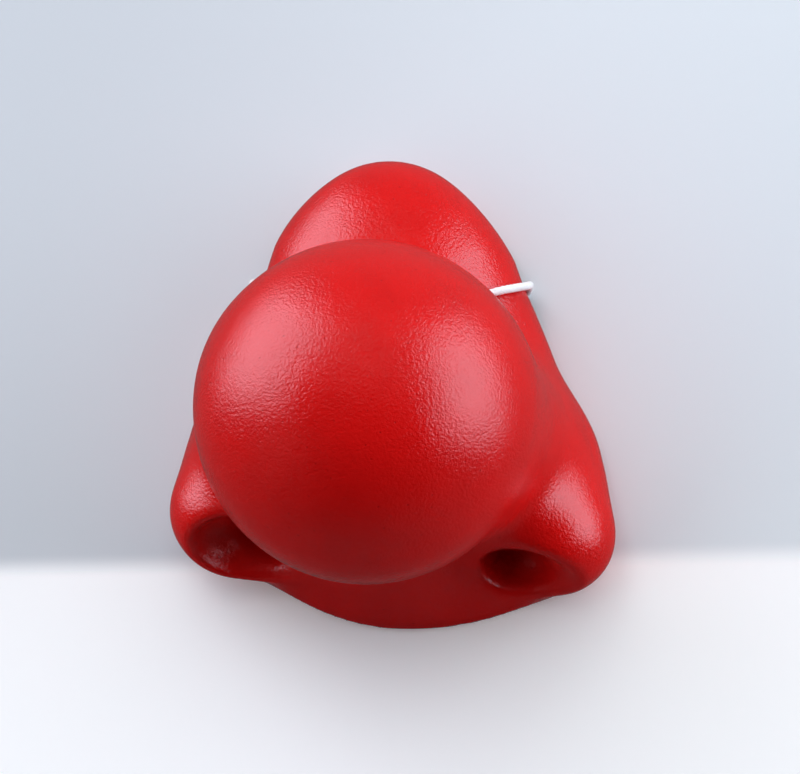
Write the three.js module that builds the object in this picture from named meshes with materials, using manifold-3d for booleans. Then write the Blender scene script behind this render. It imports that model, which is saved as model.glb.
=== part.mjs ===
// A hollow latex clown nose with a round elastic cord.
// It lies on its rim: +Z is the tip of the nose, +Y the bridge, -Y the lip, +X the right wing.
// Millimetres. The origin is at the middle of the nose, level with its rim.
import * as THREE from 'three';
import { mergeVertices } from 'three/addons/utils/BufferGeometryUtils.js';
import Module from 'manifold-3d';

// Main sizes of the nose
const noseWidth = 73.4;
const noseLength = 78;
const bodyDepth = 22.5;
const ballDiameter = 54;
const ballUp = 36;
const ballAlong = -8.2;
const wallThickness = 2;

// How far the right wing, and the right nostril, sit lower than the left one for each
// millimetre from the middle
const wingSkew = 0.07;
const nostrilSkew = 0.15;

// Softness of the valleys between the forms
const bodyBlend = 9;
const wingBlend = 5;
const lipBlend = 6;
const flankBlend = 4;
const grooveBlend = 5;
const nostrilBlend = 3;

// Elastic cord, its two holes and the notches that let it out under the rim
const cordDiameter = 1.3;
const cordHoleDiameter = 2.4;
const cordHoleDepth = 8;
const knotDiameter = 3.6;
const notchHeight = 3.4;
const notchHalfAngle = 17;
const notchMiddleAngle = 47;

// Room between pieces that touch on the real thing
const pieceGap = 0.3;

// A point in the middle of the hollow, from which the whole inside of the skin is in sight
const heartAlong = -6.2;
const heartUp = 19;

// Mesh density: slices round the nose, rings from the tip to the rim, strips over the rim
const slices = 72;
const outerRings = 36;
const innerRings = 22;
const rimStrips = 2;
const recessSlices = 18;
const recessRings = 12;
const holeSides = 20;
const cordSides = 8;
const cordSteps = 80;
const knotSlices = 12;
const knotRings = 8;

// How often a ray's length is halved to find the skin, and how near two corners are one
const halvings = 26;
const mergeDistance = 1e-4;

const halfWidth = noseWidth / 2;
const halfLength = noseLength / 2;
const ballRadius = ballDiameter / 2;
const cordRadius = cordDiameter / 2;
const knotRadius = knotDiameter / 2;
const heart = new THREE.Vector3(0, heartAlong, heartUp);

// Egg-shaped forms. Places and reaches are shares of halfWidth, halfLength and bodyDepth.
const eggShares = {
  bridge: { across: -0.02, along: 0.466, up: 0.311, reachAcross: 0.494, reachAlong: 0.534, reachUp: 0.689 },
  middle: { across: 0, along: -0.185, up: 0.178, reachAcross: 0.654, reachAlong: 0.718, reachUp: 0.889 },
  wing: { across: 0.681, along: -0.574, up: 0.422, reachAcross: 0.319, reachAlong: 0.273, reachUp: 0.533 },
  lip: { across: 0.097, along: -0.577, up: -0.044, reachAcross: 0.761, reachAlong: 0.423, reachUp: 0.4 },
  nostril: { across: 0.613, along: -0.821, up: 0.689, reachAcross: 0.259, reachAlong: 0.192, reachUp: 0.4 },
  pocket: { across: 0.561, along: -0.677, up: 0.409, reachAcross: 0.144, reachAlong: 0.108, reachUp: 0.24 },
};

// Ends of the round limbs that taper along the sides, in the same shares, with radii as
// shares of halfWidth: the side wall runs from the bridge to the wing.
const limbEndShares = {
  sideWallTop: { across: 0.125, along: 0.376, up: 0.133, radius: 0.484 },
  sideWallFoot: { across: 0.603, along: -0.422, up: 0.289, radius: 0.32 },
  flankFoot: { across: 0.518, along: -0.287, up: 0.178, radius: 0.409 },
};

// The top of the flank that runs down from the ball, in shares of the ball's radius from
// the ball's centre
const flankTopShare = { across: 0.24, along: 0.074, up: -0.222, radius: 0.752 };

// The middle of the cord's route, chosen by hand: out of the right hole, down the side
// wall, under the rim, once round inside on the surface below, and back to the left hole
const cordRoute = [
  [12.9, 12.3, 16.7],
  [15.1, 13.1, 17.2],
  [17.4, 13.9, 17.5],
  [19.5, 14.7, 16.3],
  [20.7, 15.4, 14.0],
  [21.8, 16.2, 11.2],
  [22.55, 17.05, 7.8],
  [22.7, 17.8, 4.7],
  [22.15, 17.4, 2.0],
  [20.9, 16.3, 0.9],
  [18.6, 14.0, 0.75],
  [11.0, 8.0, 0.75],
  [1.0, 2.9, 0.75],
  [-9.0, -1.2, 0.75],
  [-18.0, -5.8, 0.75],
  [-24.2, -12.5, 0.75],
  [-25.8, -19.5, 0.75],
  [-21.0, -26.3, 0.75],
  [-12.0, -30.4, 0.75],
  [0.0, -31.8, 0.75],
  [12.0, -30.6, 0.75],
  [21.5, -26.8, 0.75],
  [26.2, -19.5, 0.75],
  [24.6, -12.0, 0.75],
  [18.5, -5.8, 0.85],
  [9.8, -0.8, 1.5],
  [1.0, 3.0, 2.3],
  [-9.0, 8.6, 1.5],
  [-19.0, 15.3, 0.75],
  [-21.8, 18.0, 0.85],
  [-23.35, 19.4, 2.0],
  [-24.0, 19.7, 4.5],
  [-23.5, 18.6, 7.9],
  [-22.4, 17.6, 11.3],
  [-21.2, 16.75, 14.2],
  [-20.0, 16.1, 16.6],
  [-17.8, 15.1, 17.8],
  [-15.4, 14.2, 17.5],
  [-13.2, 13.5, 17.0],
].map((point) => new THREE.Vector3(...point));

/** An egg's centre and reach in millimetres. */
function eggFrom(share) {
  return {
    centre: new THREE.Vector3(share.across * halfWidth, share.along * halfLength, share.up * bodyDepth),
    reach: new THREE.Vector3(
      share.reachAcross * halfWidth, share.reachAlong * halfLength, share.reachUp * bodyDepth),
  };
}

/** A limb's end in millimetres. */
function limbEndFrom(share) {
  return {
    centre: new THREE.Vector3(share.across * halfWidth, share.along * halfLength, share.up * bodyDepth),
    radius: share.radius * halfWidth,
  };
}

const bridge = eggFrom(eggShares.bridge);
const middle = eggFrom(eggShares.middle);
const wing = eggFrom(eggShares.wing);
const lip = eggFrom(eggShares.lip);
const nostril = eggFrom(eggShares.nostril);
const pocket = eggFrom(eggShares.pocket);
const ballCentre = new THREE.Vector3(0, ballAlong, ballUp);
const sideWall = {
  top: limbEndFrom(limbEndShares.sideWallTop),
  foot: limbEndFrom(limbEndShares.sideWallFoot),
};
const flank = {
  top: {
    centre: new THREE.Vector3(flankTopShare.across, flankTopShare.along, flankTopShare.up)
      .multiplyScalar(ballRadius).add(ballCentre),
    radius: flankTopShare.radius * ballRadius,
  },
  foot: limbEndFrom(limbEndShares.flankFoot),
};

/** The lesser of two distances, with a round valley of the given size where they meet. */
function join(a, b, size) {
  const near = Math.max(size - Math.abs(a - b), 0) / size;
  return Math.min(a, b) - (near * near * size) / 4;
}

/** Distance from a point to an egg, near enough for the skin and the wall beneath it. */
function eggDistance(egg, point) {
  const offset = point.clone().sub(egg.centre).divide(egg.reach);
  const share = offset.length();
  return (share * (share - 1)) / Math.max(offset.divide(egg.reach).length(), 1e-9);
}

/** Distance from a point to a tapered limb. */
function limbDistance(limb, point) {
  const run = limb.foot.centre.clone().sub(limb.top.centre);
  const offset = point.clone().sub(limb.top.centre);
  const share = THREE.MathUtils.clamp(offset.dot(run) / run.lengthSq(), 0, 1);
  const radius = THREE.MathUtils.lerp(limb.top.radius, limb.foot.radius, share);
  return offset.addScaledVector(run, -share).length() - radius;
}

/** A point brought to the right side, with the left side's skew taken out. */
const onRightSide = (point, skew) => new THREE.Vector3(Math.abs(point.x), point.y + skew * point.x, point.z);

/** Distance from a point to the nose's outside without its nostrils: negative inside. */
function bodyDistance(point) {
  const onRight = onRightSide(point, wingSkew);
  let body = join(limbDistance(sideWall, onRight), eggDistance(middle, point), bodyBlend);
  body = join(body, eggDistance(bridge, point), grooveBlend);
  body = join(body, eggDistance(wing, onRight), wingBlend);
  const ball = point.distanceTo(ballCentre) - ballRadius;
  const tip = join(ball, limbDistance(flank, onRight), flankBlend);
  return join(join(body, tip, grooveBlend), eggDistance(lip, point), lipBlend);
}

/** Distance from a point to the right nostril's recess: a cup that narrows to a deep pocket. */
function recessDistance(point) {
  return join(eggDistance(nostril, point), eggDistance(pocket, point), nostrilBlend);
}

/** How far along a ray a form's surface is met. */
function rayLength(start, way, distanceTo) {
  let inside = 0;
  let outside = noseWidth;
  for (let count = 0; count < halvings; count += 1) {
    const half = (inside + outside) / 2;
    if (distanceTo(start.clone().addScaledVector(way, half)) < 0) inside = half;
    else outside = half;
  }
  return inside;
}

/** Height of the rim's edge at an angle round the nose: flat, with a notch on each side. */
function rimHeight(angle) {
  const degrees = THREE.MathUtils.radToDeg(angle);
  const offsets = [notchMiddleAngle, 180 - notchMiddleAngle].map((middle) => Math.abs(degrees - middle));
  const share = Math.min(...offsets) / notchHalfAngle;
  return share < 1 ? notchHeight * Math.cos((share * Math.PI) / 2) ** 2 : 0;
}

/** Points down a slice of the body, at a depth beneath its outside, from the tip to the rim. */
function skinPoints(angle, rings, depth) {
  const distanceTo = (point) => bodyDistance(point) + depth;
  const level = new THREE.Vector3(Math.cos(angle), Math.sin(angle), 0);
  const rimStart = new THREE.Vector3(heart.x, heart.y, rimHeight(angle));
  const edge = rimStart.clone().addScaledVector(level, rayLength(rimStart, level, distanceTo));
  const lowest = Math.atan2(edge.clone().sub(rimStart).length(), rimStart.z - heart.z);
  const points = [];
  for (let ring = 0; ring < rings; ring += 1) {
    const tilt = (lowest * ring) / rings;
    const way = level.clone().multiplyScalar(Math.sin(tilt)).setZ(Math.cos(tilt));
    points.push(heart.clone().addScaledVector(way, rayLength(heart, way, distanceTo)));
  }
  return [...points, edge];
}

/** A slice of the closed shell: points from the tip's outside over the rim to its inside. */
function shellSlice(angle) {
  const outer = skinPoints(angle, outerRings, 0);
  const inner = skinPoints(angle, innerRings, wallThickness);
  const rim = [];
  for (let strip = 1; strip < rimStrips; strip += 1) {
    rim.push(outer.at(-1).clone().lerp(inner.at(-1), strip / rimStrips));
  }
  return [...outer, ...rim, ...inner.reverse()];
}

/** A slice of all that lies within the middle of the shell's wall. */
const coreSlice = (angle) => [...skinPoints(angle, innerRings, wallThickness / 2), heart.clone().setZ(0)];

/** A geometry from slices all round the nose, whose first and last points are poles. */
function closedSkin(sliceAt) {
  const columns = [];
  for (let slice = 0; slice < slices; slice += 1) columns.push(sliceAt((slice / slices) * 2 * Math.PI));
  const rows = columns[0].length;
  const geometry = new THREE.BufferGeometry();
  const positions = columns.flat().flatMap((point) => point.toArray());
  geometry.setAttribute('position', new THREE.Float32BufferAttribute(positions, 3));
  const triangles = [];
  columns.forEach((column, index) => {
    const here = index * rows;
    const next = ((index + 1) % columns.length) * rows;
    for (let row = 0; row < rows - 1; row += 1) {
      if (row > 0) triangles.push(here + row, here + row + 1, next + row);
      if (row < rows - 2) triangles.push(next + row, here + row + 1, next + row + 1);
    }
  });
  geometry.setIndex(triangles);
  return mergeVertices(geometry, mergeDistance);
}

const wasm = await Module();
wasm.setup();

/** A geometry as a solid that can be cut. */
function toSolid(geometry) {
  const bare = geometry.clone();
  bare.deleteAttribute('normal');
  bare.deleteAttribute('uv');
  const merged = mergeVertices(bare, mergeDistance);
  const vertProperties = new Float32Array(merged.attributes.position.array);
  const triVerts = new Uint32Array(merged.index.array);
  return new wasm.Manifold(new wasm.Mesh({ numProp: 3, vertProperties, triVerts }));
}

/** A cut solid as a geometry. */
function toGeometry(solid) {
  const mesh = solid.getMesh();
  const geometry = new THREE.BufferGeometry();
  geometry.setAttribute('position', new THREE.BufferAttribute(mesh.vertProperties, 3));
  geometry.setIndex(new THREE.BufferAttribute(mesh.triVerts, 1));
  geometry.computeVertexNormals();
  return geometry;
}

/** Moves a geometry made for the right side to either side, with its skew. */
function toSide(geometry, side, skew) {
  const matrix = new THREE.Matrix4().set(side, 0, 0, 0, -skew * side, 1, 0, 0, 0, 0, 1, 0, 0, 0, 0, 1);
  geometry.applyMatrix4(matrix);
  if (side < 0) geometry.index.array.reverse();
  return geometry;
}

/** The form of a nostril's recess, grown by a thickness on all sides. */
function nostrilRecess(side, thickness) {
  const recess = new THREE.SphereGeometry(1, recessSlices, recessRings);
  const start = nostril.centre.clone().lerp(pocket.centre, 0.5);
  const distanceTo = (point) => recessDistance(point) - thickness;
  const corners = recess.attributes.position;
  for (let index = 0; index < corners.count; index += 1) {
    const way = new THREE.Vector3().fromBufferAttribute(corners, index);
    const corner = start.clone().addScaledVector(way, rayLength(start, way, distanceTo));
    corners.setXYZ(index, corner.x, corner.y, corner.z);
  }
  return toSolid(toSide(recess, side, nostrilSkew));
}

/** The drill that cuts a cord hole round the route, between its points just in and out. */
function cordHole(inner, outer) {
  const centre = inner.clone().lerp(outer, 0.5);
  const way = outer.clone().sub(inner).normalize();
  const radius = cordHoleDiameter / 2;
  const hole = new THREE.CylinderGeometry(radius, radius, cordHoleDepth, holeSides);
  hole.applyQuaternion(new THREE.Quaternion().setFromUnitVectors(new THREE.Vector3(0, 1, 0), way));
  return hole.translate(...centre.toArray());
}

/** The shell, with walls round its nostrils and two holes for the cord. */
function noseShell() {
  const core = toSolid(closedSkin(coreSlice));
  const sides = [1, -1];
  const linings = sides.map((side) => nostrilRecess(side, wallThickness).intersect(core));
  const lined = linings.reduce((solid, lining) => solid.add(lining), toSolid(closedSkin(shellSlice)));
  const cuts = [
    ...sides.map((side) => nostrilRecess(side, 0)),
    toSolid(cordHole(cordRoute[1], cordRoute[2])),
    toSolid(cordHole(cordRoute.at(-2), cordRoute.at(-3))),
  ];
  return toGeometry(cuts.reduce((solid, cut) => solid.subtract(cut), lined));
}

/** The cord, as a tube along its route. */
function elasticCord() {
  const corners = [];
  for (let side = 0; side < cordSides; side += 1) {
    const angle = (side / cordSides) * 2 * Math.PI;
    corners.push(new THREE.Vector2(cordRadius * Math.cos(angle), cordRadius * Math.sin(angle)));
  }
  const extrudePath = new THREE.CatmullRomCurve3(cordRoute);
  return new THREE.ExtrudeGeometry(
    new THREE.Shape(corners), { steps: cordSteps, bevelEnabled: false, extrudePath });
}

/** A knot that stops the cord behind its hole, in line with the cord's end. */
function cordKnot(end, next) {
  const away = end.clone().sub(next).normalize();
  const centre = end.clone().addScaledVector(away, knotRadius + pieceGap);
  return new THREE.SphereGeometry(knotRadius, knotSlices, knotRings).translate(...centre.toArray());
}

const latexRed = new THREE.MeshStandardMaterial({ color: 0xc3120e, roughness: 0.42, metalness: 0 });
const cordWhite = new THREE.MeshStandardMaterial({ color: 0xdcd6d8, roughness: 0.8, metalness: 0 });

/** Adds a named piece to the group. */
function addPiece(group, name, geometry, material) {
  const piece = new THREE.Mesh(geometry, material);
  piece.name = name;
  group.add(piece);
}

const group = new THREE.Group();
addPiece(group, 'nose_shell', noseShell(), latexRed);
addPiece(group, 'elastic_cord', elasticCord(), cordWhite);
addPiece(group, 'cord_knot_right', cordKnot(cordRoute[0], cordRoute[1]), cordWhite);
addPiece(group, 'cord_knot_left', cordKnot(cordRoute.at(-1), cordRoute.at(-2)), cordWhite);

export default group;
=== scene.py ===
"""A hollow latex clown nose on its elastic cord: the dressed pieces, a floor, lights and a camera.

It lies on its rim: +Z is the tip of the nose, +Y the bridge, -Y the lip, +X the right wing.
Lengths are in metres, unless a name or a table says millimetres.
"""

import math

import bpy
import numpy as np
from mathutils import Matrix, Vector


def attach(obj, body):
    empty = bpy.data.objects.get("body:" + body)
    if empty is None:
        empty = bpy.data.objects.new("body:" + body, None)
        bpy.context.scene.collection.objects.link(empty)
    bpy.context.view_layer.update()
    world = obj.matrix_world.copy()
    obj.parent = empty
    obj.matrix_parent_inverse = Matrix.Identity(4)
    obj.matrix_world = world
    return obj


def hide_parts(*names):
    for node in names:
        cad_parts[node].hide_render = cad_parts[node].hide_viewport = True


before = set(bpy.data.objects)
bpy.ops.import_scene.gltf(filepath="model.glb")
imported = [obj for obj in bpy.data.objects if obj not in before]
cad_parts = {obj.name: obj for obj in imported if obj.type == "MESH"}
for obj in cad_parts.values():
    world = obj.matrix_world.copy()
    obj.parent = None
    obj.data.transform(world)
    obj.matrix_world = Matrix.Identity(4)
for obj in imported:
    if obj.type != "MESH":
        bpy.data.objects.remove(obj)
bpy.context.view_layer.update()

bl_info = {
    "name": "Clown nose",
    "version": (1, 0, 0),
    "blender": (4, 5, 0),
    "location": "3D View > Sidebar > Clown nose",
    "description": "Dresses a hollow latex clown nose and its elastic cord, with floor, lights and camera",
    "category": "Object",
}

MM = 0.001
NEARLY_ZERO = 1e-9

# The form of the nose

# Egg-shaped forms, in millimetres
EGGS = {
    "bridge": {"centre": (-0.73, 18.17, 7.0), "reach": (18.13, 20.83, 15.5)},
    "middle": {"centre": (0.0, -7.22, 4.0), "reach": (24.0, 28.0, 20.0)},
    "wing": {"centre": (24.99, -22.39, 9.5), "reach": (11.71, 10.65, 11.99)},
    "lip": {"centre": (3.56, -22.5, -0.99), "reach": (27.93, 16.5, 9.0)},
    "nostril": {"centre": (22.5, -32.02, 15.5), "reach": (9.51, 7.49, 9.0)},
    "pocket": {"centre": (20.59, -26.4, 9.2), "reach": (5.28, 4.21, 5.4)},
}

# Round limbs that taper from one end to the other, in millimetres
LIMBS = {
    "side_wall": {
        "start": (4.59, 14.66, 2.99), "start_radius": 17.76,
        "end": (22.13, -16.46, 6.5), "end_radius": 11.74},
    "flank": {
        "start": (6.48, -6.2, 30.0), "start_radius": 20.3,
        "end": (19.01, -11.19, 4.0), "end_radius": 15.01},
}

BALL = {"centre": (0.0, -8.2, 36.0), "radius": 27.0}

# Softness of the valleys between the forms, in millimetres
BLENDS = {"body": 9.0, "wing": 5.0, "lip": 6.0, "flank": 4.0, "groove": 5.0, "nostril": 3.0}

# Roundness of the shell's other edges, in millimetres
EDGES = {"lining": 1.0, "wall": 0.4, "cord_hole": 0.6, "rim": 0.8}

# How far the right wing, and the right nostril, sit lower than the left one, for each
# millimetre that they lie to the side
WING_SKEW = 0.07
NOSTRIL_SKEW = 0.15

# The notches that let the cord out under the rim: angles in degrees round the heart
NOTCH = {"height": 3.4, "half_angle": 17.0, "middles": (47.0, 133.0)}
HEART = (0.0, -6.2, 19.0)

CORD_HOLE_DIAMETER = 2.4
CORD_HOLE_DEPTH = 8.0

# The middle of the cord's route in millimetres: out of the right hole, down the side wall,
# under the rim, once round inside on the surface below, and back to the left hole
CORD_ROUTE = (
    (12.9, 12.3, 16.7), (15.1, 13.1, 17.2), (17.4, 13.9, 17.5), (19.5, 14.7, 16.3),
    (20.7, 15.4, 14.0), (21.8, 16.2, 11.2), (22.55, 17.05, 7.8), (22.7, 17.8, 4.7),
    (22.15, 17.4, 2.0), (20.9, 16.3, 0.9), (18.6, 14.0, 0.75), (11.0, 8.0, 0.75),
    (1.0, 2.9, 0.75), (-9.0, -1.2, 0.75), (-18.0, -5.8, 0.75), (-24.2, -12.5, 0.75),
    (-25.8, -19.5, 0.75), (-21.0, -26.3, 0.75), (-12.0, -30.4, 0.75), (0.0, -31.8, 0.75),
    (12.0, -30.6, 0.75), (21.5, -26.8, 0.75), (26.2, -19.5, 0.75), (24.6, -12.0, 0.75),
    (18.5, -5.8, 0.85), (9.8, -0.8, 1.5), (1.0, 3.0, 2.3), (-9.0, 8.6, 1.5),
    (-19.0, 15.3, 0.75), (-21.8, 18.0, 0.85), (-23.35, 19.4, 2.0), (-24.0, 19.7, 4.5),
    (-23.5, 18.6, 7.9), (-22.4, 17.6, 11.3), (-21.2, 16.75, 14.2), (-20.0, 16.1, 16.6),
    (-17.8, 15.1, 17.8), (-15.4, 14.2, 17.5), (-13.2, 13.5, 17.0),
)

# The route's points inside and outside the wall at each cord hole, counted from its ends
CORD_HOLE_SPANS = ((1, 2), (-2, -3))

# How far from a point its slope is measured, in millimetres
SLOPE_REACH = 0.02


def join(a, b, size):
    """The lesser of two distances, with a round valley of that size where they meet."""
    near = np.maximum(size - np.abs(a - b), 0.0) / size
    return np.minimum(a, b) - near * near * size / 4


def meet(a, b, size):
    """The greater of two distances, with a round edge of that size where they meet."""
    return -join(-a, -b, size)


def egg_distance(name, points):
    """Distance from points to an egg, negative inside."""
    reach = np.array(EGGS[name]["reach"])
    offset = (points - EGGS[name]["centre"]) / reach
    share = np.linalg.norm(offset, axis=1)
    return share * (share - 1) / np.maximum(np.linalg.norm(offset / reach, axis=1), NEARLY_ZERO)


def limb_distance(name, points):
    """Distance from points to a tapered limb, negative inside."""
    limb = LIMBS[name]
    start = np.array(limb["start"])
    run = np.array(limb["end"]) - start
    offset = points - start
    share = np.clip(offset @ run / (run @ run), 0.0, 1.0)
    radius = limb["start_radius"] + (limb["end_radius"] - limb["start_radius"]) * share
    return np.linalg.norm(offset - share[:, None] * run, axis=1) - radius


def on_right(points, skew):
    """Points brought to the right side, with the left side's skew taken out."""
    return np.column_stack([np.abs(points[:, 0]), points[:, 1] + skew * points[:, 0], points[:, 2]])


def body_distance(points):
    """Distance from points to the outside without its nostrils."""
    right = on_right(points, WING_SKEW)
    body = join(limb_distance("side_wall", right), egg_distance("middle", points), BLENDS["body"])
    body = join(body, egg_distance("bridge", points), BLENDS["groove"])
    body = join(body, egg_distance("wing", right), BLENDS["wing"])
    ball = np.linalg.norm(points - BALL["centre"], axis=1) - BALL["radius"]
    tip = join(ball, limb_distance("flank", right), BLENDS["flank"])
    return join(join(body, tip, BLENDS["groove"]), egg_distance("lip", points), BLENDS["lip"])


def recess_distance(points):
    """Distance from points to the nostrils' recesses: cups that narrow to deep pockets."""
    right = on_right(points, NOSTRIL_SKEW)
    return join(egg_distance("nostril", right), egg_distance("pocket", right), BLENDS["nostril"])


def drill_distance(points, start, end):
    """Distance from points to the drill that cuts a cord hole round the middle of a line."""
    way = (end - start) / np.linalg.norm(end - start)
    offset = points - (start + end) / 2
    along = offset @ way
    away = np.linalg.norm(offset - along[:, None] * way, axis=1)
    return np.maximum(away - CORD_HOLE_DIAMETER / 2, np.abs(along) - CORD_HOLE_DEPTH / 2)


def rim_height(points):
    """Height of the rim's edge below points: flat, with a notch on each side for the cord."""
    angles = np.degrees(np.arctan2(points[:, 1] - HEART[1], points[:, 0] - HEART[0]))
    offsets = np.min([np.abs(angles - middle) for middle in NOTCH["middles"]], axis=0)
    share = np.minimum(offsets / NOTCH["half_angle"], 1.0)
    return NOTCH["height"] * np.cos(share * math.pi / 2) ** 2


def shell_distance(points, wall, nostril_edge):
    """Distance from points to the whole shell: hollow, with its nostrils and cord holes."""
    body = body_distance(points)
    recess = recess_distance(points)
    hollow = meet(body, -recess, EDGES["lining"]) + wall
    shell = meet(meet(body, -recess, nostril_edge), -hollow, EDGES["wall"])
    for inner, outer in CORD_HOLE_SPANS:
        hole = drill_distance(points, np.array(CORD_ROUTE[inner]), np.array(CORD_ROUTE[outer]))
        shell = meet(shell, -hole, EDGES["cord_hole"])
    return meet(shell, rim_height(points) - points[:, 2], EDGES["rim"])


def slope_of(distance, points):
    """How a distance rises along each axis at points."""
    columns = []
    for step in np.eye(3) * SLOPE_REACH:
        columns.append((distance(points + step) - distance(points - step)) / (2 * SLOPE_REACH))
    return np.column_stack(columns)


# Meshes and materials


def read_points(mesh):
    """A mesh's points as rows, in millimetres."""
    flat = np.empty(len(mesh.vertices) * 3)
    mesh.vertices.foreach_get("co", flat)
    return flat.reshape(-1, 3) / MM


def write_points(mesh, points):
    """Puts rows of millimetres back as a mesh's points."""
    mesh.vertices.foreach_set("co", (points * MM).ravel())
    mesh.update()


def remeshed(node, cell):
    """A copy of a node's mesh, made of even cells of that size."""
    copy = node.copy()
    copy.data = node.data.copy()
    bpy.context.scene.collection.objects.link(copy)
    modifier = copy.modifiers.new("even cells", "REMESH")
    modifier.mode = "VOXEL"
    modifier.voxel_size = cell
    evaluated = copy.evaluated_get(bpy.context.evaluated_depsgraph_get())
    mesh = bpy.data.meshes.new_from_object(evaluated)
    bpy.data.objects.remove(copy)
    return mesh


def smooth_line(points, steps):
    """A smooth line through points, sampled at even shares of its spans."""
    points = np.array(points, float)
    padded = np.vstack([2 * points[0] - points[1], points, 2 * points[-1] - points[-2]])
    gaps = np.sqrt(np.linalg.norm(np.diff(padded, axis=0), axis=1))
    line = []
    for share in np.linspace(0, len(points) - 1, steps + 1):
        span = min(int(share), len(points) - 2)
        t = share - span
        p0, p1, p2, p3 = padded[span:span + 4]
        g0, g1, g2 = gaps[span:span + 3]
        start = ((p1 - p0) / g0 - (p2 - p0) / (g0 + g1) + (p2 - p1) / g1) * g1
        end = ((p2 - p1) / g1 - (p3 - p1) / (g1 + g2) + (p3 - p2) / g2) * g1
        line.append(
            (2 * t**3 - 3 * t**2 + 1) * p1 + (t**3 - 2 * t**2 + t) * start
            + (3 * t**2 - 2 * t**3) * p2 + (t**3 - t**2) * end)
    return np.array(line)


def even_line(line, step):
    """A line sampled again at even lengths."""
    runs = np.concatenate([[0.0], np.cumsum(np.linalg.norm(np.diff(line, axis=0), axis=1))])
    marks = np.linspace(0.0, runs[-1], max(3, round(runs[-1] / step) + 1))
    return np.column_stack([np.interp(marks, runs, line[:, axis]) for axis in range(3)])


def frames_along(line):
    """Two side directions at each point of a line, which turn as little as they can."""
    ahead = np.gradient(line, axis=0)
    ahead /= np.linalg.norm(ahead, axis=1)[:, None]
    side = np.cross(ahead[0], (0.0, 0.0, 1.0))
    if np.linalg.norm(side) < 0.1:
        side = np.cross(ahead[0], (1.0, 0.0, 0.0))
    sides = []
    for direction in ahead:
        side = side - (side @ direction) * direction
        side /= np.linalg.norm(side)
        sides.append(side)
    sides = np.array(sides)
    return sides, np.cross(ahead, sides)


def tube(line, radius_at, sides):
    """Points and faces of a tube with closed ends. radius_at gives the radius at an angle and
    a length along the tube. Rows of uv hold the turn and the length."""
    right, up = frames_along(line)
    lengths = np.concatenate([[0.0], np.cumsum(np.linalg.norm(np.diff(line, axis=0), axis=1))])
    angles = np.arange(sides) / sides * 2 * math.pi
    radius = radius_at(angles[None, :], lengths[:, None])
    ring = (right[:, None] * np.cos(angles)[None, :, None] + up[:, None] * np.sin(angles)[None, :, None])
    points = (line[:, None] + ring * radius[:, :, None]).reshape(-1, 3)
    faces = []
    uvs = []
    for row in range(len(line) - 1):
        for side in range(sides):
            after = (side + 1) % sides
            here, above = row * sides, (row + 1) * sides
            faces.append((here + side, here + after, above + after, above + side))
            low, high = lengths[row], lengths[row + 1]
            turn, next_turn = side / sides, (side + 1) / sides
            uvs += [(turn, low), (next_turn, low), (next_turn, high), (turn, high)]
    for row, order in ((0, -1), (len(line) - 1, 1)):
        cap = [row * sides + side for side in range(sides)][::order]
        faces.append(tuple(cap))
        uvs += [(side / sides, lengths[row]) for side in range(sides)]
    return points, faces, uvs


def mesh_from(name, parts):
    """One mesh from the points, faces and uvs of several tubes, given in millimetres."""
    points, faces, uvs = [], [], []
    for part_points, part_faces, part_uvs in parts:
        shift = len(points)
        points += [tuple(point * MM) for point in part_points]
        faces += [tuple(index + shift for index in face) for face in part_faces]
        uvs += part_uvs
    mesh = bpy.data.meshes.new(name)
    mesh.from_pydata(points, [], faces)
    layer = mesh.uv_layers.new(name="along")
    layer.data.foreach_set("uv", np.array(uvs, float).ravel())
    mesh.polygons.foreach_set("use_smooth", [True] * len(mesh.polygons))
    mesh.update()
    return mesh


def add_piece(name, mesh, material, slot, *nodes):
    """Adds a mesh as a piece of the nose that stands for some nodes."""
    mesh.materials.clear()
    mesh.materials.append(material)
    piece = bpy.data.objects.new(name, mesh)
    bpy.context.scene.collection.objects.link(piece)
    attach(piece, "root")
    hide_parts(*nodes)
    return piece


def new_material(name):
    """A material with nodes, and its node tree and main shader."""
    material = bpy.data.materials.new(name)
    material.use_nodes = True
    return material, material.node_tree, material.node_tree.nodes["Principled BSDF"]


def add_node(tree, kind, links=(), **values):
    """Adds a shader node. links are (input, output socket) pairs, and values are set on the
    node itself, or on its inputs where their name ends in an underscore."""
    node = tree.nodes.new(kind)
    for key, value in values.items():
        if key.endswith("_"):
            node.inputs[key[:-1].replace("_", " ")].default_value = value
        else:
            setattr(node, key, value)
    for name, socket in links:
        tree.links.new(socket, node.inputs[name])
    return node


def colour_ramp(tree, socket, stops):
    """A ramp of (place, colour) stops driven by a socket."""
    ramp = add_node(tree, "ShaderNodeValToRGB", [("Fac", socket)])
    for element, (place, colour) in zip(ramp.color_ramp.elements, (stops[0], stops[-1])):
        element.position = place
        element.color = colour
    for place, colour in stops[1:-1]:
        ramp.color_ramp.elements.new(place).color = colour
    return ramp.outputs["Color"]


# Settings


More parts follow.
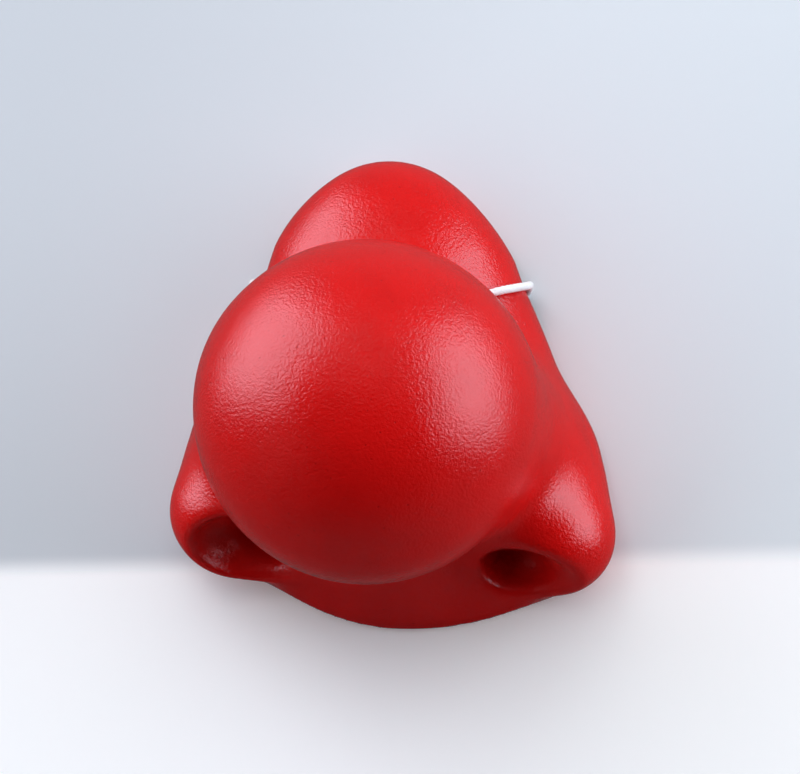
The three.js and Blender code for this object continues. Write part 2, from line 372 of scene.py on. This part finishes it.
class NoseSettings(bpy.types.PropertyGroup):
    """Sizes and finish of the latex shell."""

    wall: bpy.props.FloatProperty(
        name="Wall", description="Thickness of the latex", default=0.002, min=0.001, max=0.003,
        unit="LENGTH", subtype="DISTANCE")
    nostril_edge: bpy.props.FloatProperty(
        name="Nostril edge", description="Roundness of the nostrils' edges", default=0.0025, min=0.0005,
        max=0.005, unit="LENGTH", subtype="DISTANCE")
    cell: bpy.props.FloatProperty(
        name="Cell", description="Size of the skin's mesh cells", default=0.00063, min=0.0005, max=0.002,
        unit="LENGTH", subtype="DISTANCE")
    red: bpy.props.FloatVectorProperty(
        name="Red", description="Colour of the latex", default=(0.66, 0.006, 0.0055), min=0.0, max=1.0,
        subtype="COLOR")
    # The colour of the pits is painted shade: it stands in for the shade in them and for the highlight they
    # turn away
    pit_shade_red: bpy.props.FloatVectorProperty(
        name="Dark red", description="Colour of the latex in its pits", default=(0.44, 0.004, 0.004),
        min=0.0, max=1.0, subtype="COLOR")
    roughness: bpy.props.FloatProperty(
        name="Roughness", description="Roughness of the satin skin", default=0.17, min=0.0, max=1.0,
        subtype="FACTOR")


class CordSettings(bpy.types.PropertyGroup):
    """Sizes and finish of the elastic cord."""

    diameter: bpy.props.FloatProperty(
        name="Diameter", description="Diameter of the cord", default=0.0013, min=0.0008, max=0.003,
        unit="LENGTH", subtype="DISTANCE")
    ply_pitch: bpy.props.FloatProperty(
        name="Ply pitch", description="Length in which a strand turns once round the cord", default=0.0036,
        min=0.001, max=0.01, unit="LENGTH", subtype="DISTANCE")
    white: bpy.props.FloatVectorProperty(
        name="White", description="Colour of the cord", default=(0.84, 0.93, 0.94), min=0.0, max=1.0,
        subtype="COLOR")


class StageSettings(bpy.types.PropertyGroup):
    """The floor, the lights and the camera."""

    floor_colour: bpy.props.FloatVectorProperty(
        name="Floor", description="Colour of the floor", default=(0.56, 0.645, 0.685), min=0.0, max=1.0,
        subtype="COLOR")
    # Painted light: the floor on the right is coloured lighter, as if more light fell there
    painted_light_right_colour: bpy.props.FloatVectorProperty(
        name="Floor on the right", description="Colour of the floor on the right", default=(0.69, 0.8, 0.84),
        min=0.0, max=1.0, subtype="COLOR")
    # Painted light: the floor before the lip is coloured lighter, as if more light fell there
    painted_light_front_colour: bpy.props.FloatVectorProperty(
        name="Floor in front", description="Colour of the floor before the lip", default=(0.92, 0.99, 1.0),
        min=0.0, max=1.0, subtype="COLOR")
    # A painted glow: the floor before the lip gives off light, though it is no lamp
    front_glow: bpy.props.FloatProperty(
        name="Glow in front", description="Light that the floor before the lip gives off", default=0.1,
        min=0.0, max=1.0)
    world_strength: bpy.props.FloatProperty(
        name="World", description="Strength of the even light from all round", default=1.0, min=0.0, max=5.0)
    lens: bpy.props.FloatProperty(
        name="Lens", description="Focal length of the camera", default=140.6, min=10.0, max=300.0,
        subtype="DISTANCE_CAMERA")
    distance: bpy.props.FloatProperty(
        name="Distance", description="From the camera to the nose", default=0.5, min=0.2, max=3.0,
        unit="LENGTH", subtype="DISTANCE")


# The camera

# The camera's angles from the nose's own axis, in degrees, the point that it looks at, in
# millimetres, and where that point falls in the 800 by 774 frame
CAMERA_TO_RIGHT = 8.5
CAMERA_TO_LIP = 10.0
CAMERA_TARGET = (0.0, -3.2, 25.0)
FRAME_SIZE = (800, 774)
TARGET_IN_FRAME = (376.8, 392.2)


def camera_axes():
    """The camera's right, up and backward directions."""
    a, b = math.radians(CAMERA_TO_RIGHT), math.radians(CAMERA_TO_LIP)
    back = Vector((math.sin(a) * math.cos(b), -math.sin(b), math.cos(a) * math.cos(b)))
    right = Vector((0, 1, 0)).cross(back).normalized()
    return right, back.cross(right), back


def facing_matrix(place, away, up):
    """A place and turn with Z pointing away and Y as near up as it can."""
    side = up.cross(away).normalized()
    level = away.cross(side)
    return Matrix((
        (side.x, level.x, away.x, place.x),
        (side.y, level.y, away.y, place.y),
        (side.z, level.z, away.z, place.z),
        (0, 0, 0, 1)))


class NOSE_OT_camera(bpy.types.Operator):
    """Places the camera in front of the tip of the nose"""

    bl_idname = "nose.camera"
    bl_label = "Place the camera"

    def execute(self, context):
        stage = context.scene.nose_stage
        data = bpy.data.cameras.new("camera")
        data.sensor_width = 36.0
        data.lens = stage.lens
        data.shift_x = (FRAME_SIZE[0] / 2 - TARGET_IN_FRAME[0]) / FRAME_SIZE[0]
        data.shift_y = (TARGET_IN_FRAME[1] - FRAME_SIZE[1] / 2) / FRAME_SIZE[0]
        camera = bpy.data.objects.new("camera", data)
        _, up, back = camera_axes()
        place = Vector(CAMERA_TARGET) * MM + back * stage.distance
        camera.matrix_world = facing_matrix(place, back, up)
        context.scene.collection.objects.link(camera)
        context.scene.camera = camera
        return {"FINISHED"}


# The cord and its knots

# The cord's strands: how many, and the share of its radius in their valleys and over them
STRANDS = 3
STRAND_VALLEY = 0.9
STRAND_CROWN = 0.16

# The cord's mesh: samples of its curve, the length of a ring in millimetres, and the sides of
# a ring
CURVE_SAMPLES = 1200
RING_LENGTH = 0.3
CORD_SIDES = 16

# A knot, in millimetres: its size, its gap to the cord's end, and where its free end bends
# and ends
KNOT_RADIUS = 1.8
KNOT_GAP = 0.3
KNOT_TAIL_BEND = 1.2
KNOT_TAIL = 2.6

# A knot's line is a trefoil of radius 3, shrunk to a share of the knot's size, with this depth,
# and the cord reaches into it by a share of its size
TREFOIL_RADIUS = 3
TREFOIL_DEPTH = 1.3
KNOT_LINE_SHARE = 0.62
CORD_IN_KNOT_SHARE = 0.6
KNOT_RINGS = 91
KNOT_SIDES = 12
KNOT_TAIL_RINGS = 16

# How light the cord is between its fibres, as a share of its white
FIBRE_DIM = 0.8


def cord_material(cord):
    """White elastic: short fibres in soft strands."""
    material, tree, shader = new_material("white_elastic")
    shader.inputs["Roughness"].default_value = 0.75
    shader.inputs["Sheen Weight"].default_value = 0.3
    shader.inputs["Sheen Roughness"].default_value = 0.5
    place = add_node(tree, "ShaderNodeTexCoord")
    fibres = add_node(
        tree, "ShaderNodeTexNoise", [("Vector", place.outputs["Object"])], Scale_=5200.0, Detail_=3.0,
        Roughness_=0.6)
    dim = tuple(FIBRE_DIM * channel for channel in cord.white)
    stops = [(0.3, (*dim, 1)), (0.6, (*cord.white, 1))]
    tree.links.new(colour_ramp(tree, fibres.outputs["Fac"], stops), shader.inputs["Base Color"])
    bump = add_node(
        tree, "ShaderNodeBump", [("Height", fibres.outputs["Fac"])], Strength_=0.5, Distance_=0.00008)
    tree.links.new(bump.outputs["Normal"], shader.inputs["Normal"])
    return material


def strand_radius(cord):
    """The radius of the stranded cord at an angle and a length, in millimetres."""
    full = cord.diameter / MM / 2

    def radius_at(angles, lengths):
        turn = STRANDS * (angles + lengths * 2 * math.pi / (cord.ply_pitch / MM))
        return full * (STRAND_VALLEY + STRAND_CROWN * np.abs(np.cos(turn / 2)))

    return radius_at


def knot_mesh(name, cord, end, inward):
    """An overhand knot pulled tight, with a short free end, beyond an end of the cord."""
    way = Vector(inward).normalized()
    turn = way.to_track_quat("Z", "Y").to_matrix()
    middle = np.array(end) + np.array(way) * (KNOT_GAP + KNOT_RADIUS)
    t = np.linspace(0, 2 * math.pi, KNOT_RINGS)
    loops = np.column_stack([
        np.sin(t) + 2 * np.sin(2 * t), np.cos(t) - 2 * np.cos(2 * t), -TREFOIL_DEPTH * np.sin(3 * t)])
    loops *= KNOT_RADIUS * KNOT_LINE_SHARE / TREFOIL_RADIUS
    loops = loops @ np.array(turn).T + middle
    bend = middle + np.array(way) * KNOT_TAIL_BEND
    tip = middle + np.array(way) * (KNOT_RADIUS + KNOT_TAIL)
    tail = smooth_line([loops[KNOT_RINGS // 3], bend, tip], KNOT_TAIL_RINGS)
    radius_at = strand_radius(cord)
    return mesh_from(name, [tube(line, radius_at, KNOT_SIDES) for line in (loops, tail)])


class NOSE_OT_elastic_cord(bpy.types.Operator):
    """Makes the elastic cord along its route, with its two knots"""

    bl_idname = "nose.elastic_cord"
    bl_label = "Make the elastic cord"

    def execute(self, context):
        cord = context.scene.nose_cord
        material = cord_material(cord)
        route = np.array(CORD_ROUTE)
        ends = {"right": (route[0], route[0] - route[1]), "left": (route[-1], route[-1] - route[-2])}
        for side, (end, inward) in ends.items():
            mesh = knot_mesh(f"knot_{side}", cord, end, inward)
            add_piece(f"knot_{side}", mesh, material, "white_elastic", f"cord_knot_{side}")
        reach_in = KNOT_GAP + KNOT_RADIUS * CORD_IN_KNOT_SHARE
        first, last = (end + inward / np.linalg.norm(inward) * reach_in for end, inward in ends.values())
        line = even_line(smooth_line([first, *route, last], CURVE_SAMPLES), RING_LENGTH)
        mesh = mesh_from("cord", [tube(line, strand_radius(cord), CORD_SIDES)])
        piece = add_piece("cord", mesh, material, "white_elastic", "elastic_cord")
        return {"FINISHED"}


# The latex shell

# How the skin's mesh is drawn onto the form: in this many rounds, each with a longest step in
# millimetres, and with this least steepness taken where the form is nearly level
FIT_ROUNDS = 6
FIT_STEP = 0.5
FIT_STEEPNESS = 0.2

# How far the skin's patches darken, and how far its roughness varies, down and up
PATCH_DIM = 0.9
SMOOTHER = 0.05
ROUGHER = 0.08


def latex_material(nose):
    """Satin red latex, finely grained, with small pits that are darkened with painted shade."""
    material, tree, shader = new_material("red_latex")
    shader.inputs["IOR"].default_value = 1.5
    shader.inputs["Specular IOR Level"].default_value = 0.95
    place = add_node(tree, "ShaderNodeTexCoord").outputs["Object"]
    grain = add_node(
        tree, "ShaderNodeTexNoise", [("Vector", place)], Scale_=2200.0, Detail_=2.0, Roughness_=0.6)
    patches = add_node(
        tree, "ShaderNodeTexNoise", [("Vector", place)], Scale_=110.0, Detail_=3.0, Roughness_=0.55)
    cells = add_node(tree, "ShaderNodeTexVoronoi", [("Vector", place)], Scale_=420.0, feature="F1")
    pits = colour_ramp(tree, cells.outputs["Distance"], [(0.03, (0, 0, 0, 1)), (0.09, (1, 1, 1, 1))])
    base = colour_ramp(tree, patches.outputs["Fac"], [
        (0.3, (*(PATCH_DIM * channel for channel in nose.red), 1)), (0.7, (*nose.red, 1))])
    # The pits mix in a darker red, which is painted shade; they are also bumped below
    colour = add_node(tree, "ShaderNodeMix", data_type="RGBA")
    tree.links.new(pits, colour.inputs["Factor"])
    colour.inputs["A"].default_value = (*nose.pit_shade_red, 1)
    tree.links.new(base, colour.inputs["B"])
    tree.links.new(colour.outputs["Result"], shader.inputs["Base Color"])
    rough = add_node(
        tree, "ShaderNodeMapRange", [("Value", grain.outputs["Fac"])], From_Min_=0.3, From_Max_=0.7,
        To_Min_=nose.roughness - SMOOTHER, To_Max_=nose.roughness + ROUGHER)
    tree.links.new(rough.outputs["Result"], shader.inputs["Roughness"])
    swell = add_node(
        tree, "ShaderNodeBump", [("Height", patches.outputs["Fac"])], Strength_=0.5, Distance_=0.0003)
    fine = add_node(
        tree, "ShaderNodeBump", [("Height", grain.outputs["Fac"]), ("Normal", swell.outputs["Normal"])],
        Strength_=1.0, Distance_=0.00012)
    pitted = add_node(
        tree, "ShaderNodeBump", [("Height", pits), ("Normal", fine.outputs["Normal"])], Strength_=0.5,
        Distance_=0.00006)
    tree.links.new(pitted.outputs["Normal"], shader.inputs["Normal"])
    return material


class NOSE_OT_latex_shell(bpy.types.Operator):
    """Makes the hollow latex shell, fine enough for its round edges"""

    bl_idname = "nose.latex_shell"
    bl_label = "Make the latex shell"

    def execute(self, context):
        nose = context.scene.nose_shell
        mesh = remeshed(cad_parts["nose_shell"], nose.cell)
        points = read_points(mesh)

        def distance(where):
            return shell_distance(where, nose.wall / MM, nose.nostril_edge / MM)

        for _ in range(FIT_ROUNDS):
            slope = slope_of(distance, points)
            steepness = np.maximum((slope**2).sum(axis=1), FIT_STEEPNESS)
            move = -slope * (distance(points) / steepness)[:, None]
            length = np.linalg.norm(move, axis=1)
            points += move * np.minimum(1.0, FIT_STEP / np.maximum(length, NEARLY_ZERO))[:, None]
        points[:, 2] = np.maximum(points[:, 2], 0.0)
        write_points(mesh, points)
        mesh.polygons.foreach_set("use_smooth", [True] * len(mesh.polygons))
        add_piece("shell", mesh, latex_material(nose), "red_latex", "nose_shell")
        return {"FINISHED"}


# The floor and the lights

# Area lights: where each stands in metres along the camera's right, up and backward
# directions, its width and height, its watts, and whether the latex mirrors it
LIGHTS = {
    "left_box": {"place": (-0.56, 0.36, 0.07), "size": (0.72, 0.68), "watts": 3.6, "mirrored": True},
    "right_box": {"place": (0.57, 0.17, 0.17), "size": (0.56, 0.70), "watts": 2.7, "mirrored": True},
    "right_fill": {"place": (0.90, 0.30, 0.30), "size": (0.80, 0.80), "watts": 4.0, "mirrored": False},
    "top_fill": {"place": (-0.50, 0.90, 0.80), "size": (0.80, 0.80), "watts": 3.3, "mirrored": False},
    "front_fill": {"place": (0.0, 0.90, 0.95), "size": (1.40, 1.40), "watts": 11.4, "mirrored": False},
    "left_fill": {"place": (-1.0, -0.30, 0.45), "size": (0.80, 0.80), "watts": 2.8, "mirrored": False},
}
LIGHT_COLOUR = (1.0, 0.97, 0.99)
MIRRORED_COLOUR = (0.91, 0.85, 1.0)

# Painted light on the floor: it turns lighter where the lip begins, between these places along Y, and
# lightens from left to right up to this far from its middle
FLOOR_REACH = 4.0
FRONT_STARTS = -0.025
FRONT_FULL = -0.0295
RIGHT_FULL = 0.07

# The boxes reach below the floor, which casts no shadow, so a round sheet beneath it keeps
# the hollow dark
UNDERLAY_RADIUS = 0.045
UNDERLAY_DEPTH = 0.0005
UNDERLAY_SIDES = 64

# The sky is lightest along this way, above and behind the nose, and darkest against it. Each
# stop is a share of the way round and how light the sky is there
SKY_COLOUR = (0.92, 0.94, 1.0)
SKY_WAY = (0.0, 0.75, -0.66)
SKY_STOPS = ((0.0, 0.0), (0.5, 0.0), (0.7, 0.07), (1.0, 0.15))


def floor_material(stage):
    """Matt and pale, with painted light: lighter to the right, and lightest in front, where it also gives
    off some light as a painted glow.
    """
    material, tree, shader = new_material("pale_floor")
    shader.inputs["Roughness"].default_value = 0.8
    place = add_node(tree, "ShaderNodeTexCoord").outputs["Object"]
    axes = add_node(tree, "ShaderNodeSeparateXYZ", [("Vector", place)]).outputs
    # Painted light: the floor lightens to the right
    to_right = add_node(
        tree, "ShaderNodeMapRange", [("Value", axes["X"])], interpolation_type="SMOOTHSTEP",
        From_Min_=-RIGHT_FULL, From_Max_=RIGHT_FULL)
    # Painted light: the floor lightens in front, and glows there
    in_front = add_node(
        tree, "ShaderNodeMapRange", [("Value", axes["Y"])], interpolation_type="SMOOTHSTEP",
        From_Min_=FRONT_STARTS, From_Max_=FRONT_FULL)
    stops = [(0, (*stage.floor_colour, 1)), (1, (*stage.painted_light_right_colour, 1))]
    colour = add_node(tree, "ShaderNodeMix", data_type="RGBA")
    tree.links.new(in_front.outputs["Result"], colour.inputs["Factor"])
    tree.links.new(colour_ramp(tree, to_right.outputs["Result"], stops), colour.inputs["A"])
    colour.inputs["B"].default_value = (*stage.painted_light_front_colour, 1)
    tree.links.new(colour.outputs["Result"], shader.inputs["Base Color"])
    glow = add_node(
        tree, "ShaderNodeMapRange", [("Value", in_front.outputs["Result"])], To_Max_=stage.front_glow)
    shader.inputs["Emission Color"].default_value = (*stage.painted_light_front_colour, 1)
    tree.links.new(glow.outputs["Result"], shader.inputs["Emission Strength"])
    return material


def add_sheet(name, points, material, casts_shadow):
    """Adds a flat sheet of the stage, which the latex doesn't mirror."""
    mesh = bpy.data.meshes.new(name)
    mesh.from_pydata(points, [], [range(len(points))])
    mesh.materials.append(material)
    sheet = bpy.data.objects.new(name, mesh)
    bpy.context.scene.collection.objects.link(sheet)
    sheet.visible_glossy = False
    sheet.visible_shadow = casts_shadow


def lay_floor(stage):
    """Lays the floor and the round sheet beneath it."""
    material = floor_material(stage)
    corners = [(-1, -1), (1, -1), (1, 1), (-1, 1)]
    square = [(FLOOR_REACH * x, FLOOR_REACH * y, 0) for x, y in corners]
    add_sheet("floor", square, material, casts_shadow=False)
    circle = [
        (UNDERLAY_RADIUS * math.cos(turn), UNDERLAY_RADIUS * math.sin(turn), -UNDERLAY_DEPTH)
        for turn in np.linspace(0, 2 * math.pi, UNDERLAY_SIDES, endpoint=False)]
    add_sheet("underlay", circle, material, casts_shadow=True)


def hang_lights():
    """Hangs the area lights round the nose, facing it."""
    right, up, back = camera_axes()
    target = Vector(CAMERA_TARGET) * MM
    for name, light in LIGHTS.items():
        data = bpy.data.lights.new(name, "AREA")
        data.shape = "RECTANGLE"
        data.size, data.size_y = light["size"]
        data.energy = light["watts"]
        data.color = MIRRORED_COLOUR if light["mirrored"] else LIGHT_COLOUR
        lamp = bpy.data.objects.new(name, data)
        x, y, z = light["place"]
        away = right * x + up * y + back * z
        lamp.matrix_world = facing_matrix(target + away, away.normalized(), up)
        lamp.visible_camera = False
        lamp.visible_glossy = light["mirrored"]
        bpy.context.scene.collection.objects.link(lamp)


def set_sky(strength):
    """A faint sky, which lights the nose from above and behind."""
    world = bpy.data.worlds.new("soft light")
    bpy.context.scene.world = world
    world.use_nodes = True
    sky = world.node_tree
    way = add_node(sky, "ShaderNodeTexCoord").outputs["Generated"]
    along = add_node(sky, "ShaderNodeVectorMath", operation="DOT_PRODUCT")
    along.inputs[1].default_value = SKY_WAY
    sky.links.new(way, along.inputs[0])
    share = add_node(
        sky, "ShaderNodeMapRange", [("Value", along.outputs["Value"])], From_Min_=-1.0, From_Max_=1.0)
    stops = [(place, (*(grey * channel for channel in SKY_COLOUR), 1)) for place, grey in SKY_STOPS]
    background = sky.nodes["Background"]
    sky.links.new(colour_ramp(sky, share.outputs["Result"], stops), background.inputs["Color"])
    background.inputs["Strength"].default_value = strength


class NOSE_OT_stage(bpy.types.Operator):
    """Lays the floor and sets the lights"""

    bl_idname = "nose.stage"
    bl_label = "Set the stage"

    def execute(self, context):
        stage = context.scene.nose_stage
        lay_floor(stage)
        hang_lights()
        set_sky(stage.world_strength)
        context.scene.view_settings.view_transform = "Standard"
        return {"FINISHED"}


# The panel


class NOSE_PT_panel(bpy.types.Panel):
    """The settings and the steps, in the order in which they run"""

    bl_idname = "NOSE_PT_panel"
    bl_label = "Clown nose"
    bl_space_type = "VIEW_3D"
    bl_region_type = "UI"
    bl_category = "Clown nose"

    def draw(self, context):
        groups = (context.scene.nose_shell, context.scene.nose_cord, context.scene.nose_stage)
        for group in groups:
            box = self.layout.box()
            for name in group.__annotations__:
                box.prop(group, name)
        for operator in OPERATORS:
            self.layout.operator(operator.bl_idname)


GROUPS = {"nose_shell": NoseSettings, "nose_cord": CordSettings, "nose_stage": StageSettings}
OPERATORS = (NOSE_OT_camera, NOSE_OT_elastic_cord, NOSE_OT_latex_shell, NOSE_OT_stage)


def register():
    """Registers the settings, the steps and the panel."""
    for name, group in GROUPS.items():
        bpy.utils.register_class(group)
        setattr(bpy.types.Scene, name, bpy.props.PointerProperty(type=group))
    for part in (*OPERATORS, NOSE_PT_panel):
        bpy.utils.register_class(part)


def unregister():
    """Takes them out again."""
    for part in (NOSE_PT_panel, *reversed(OPERATORS)):
        bpy.utils.unregister_class(part)
    for name, group in GROUPS.items():
        delattr(bpy.types.Scene, name)
        bpy.utils.unregister_class(group)


def main():
    """Runs every step."""
    register()
    bpy.ops.nose.camera()
    bpy.ops.nose.elastic_cord()
    bpy.ops.nose.latex_shell()
    bpy.ops.nose.stage()


if __name__ == "__main__":
    main()
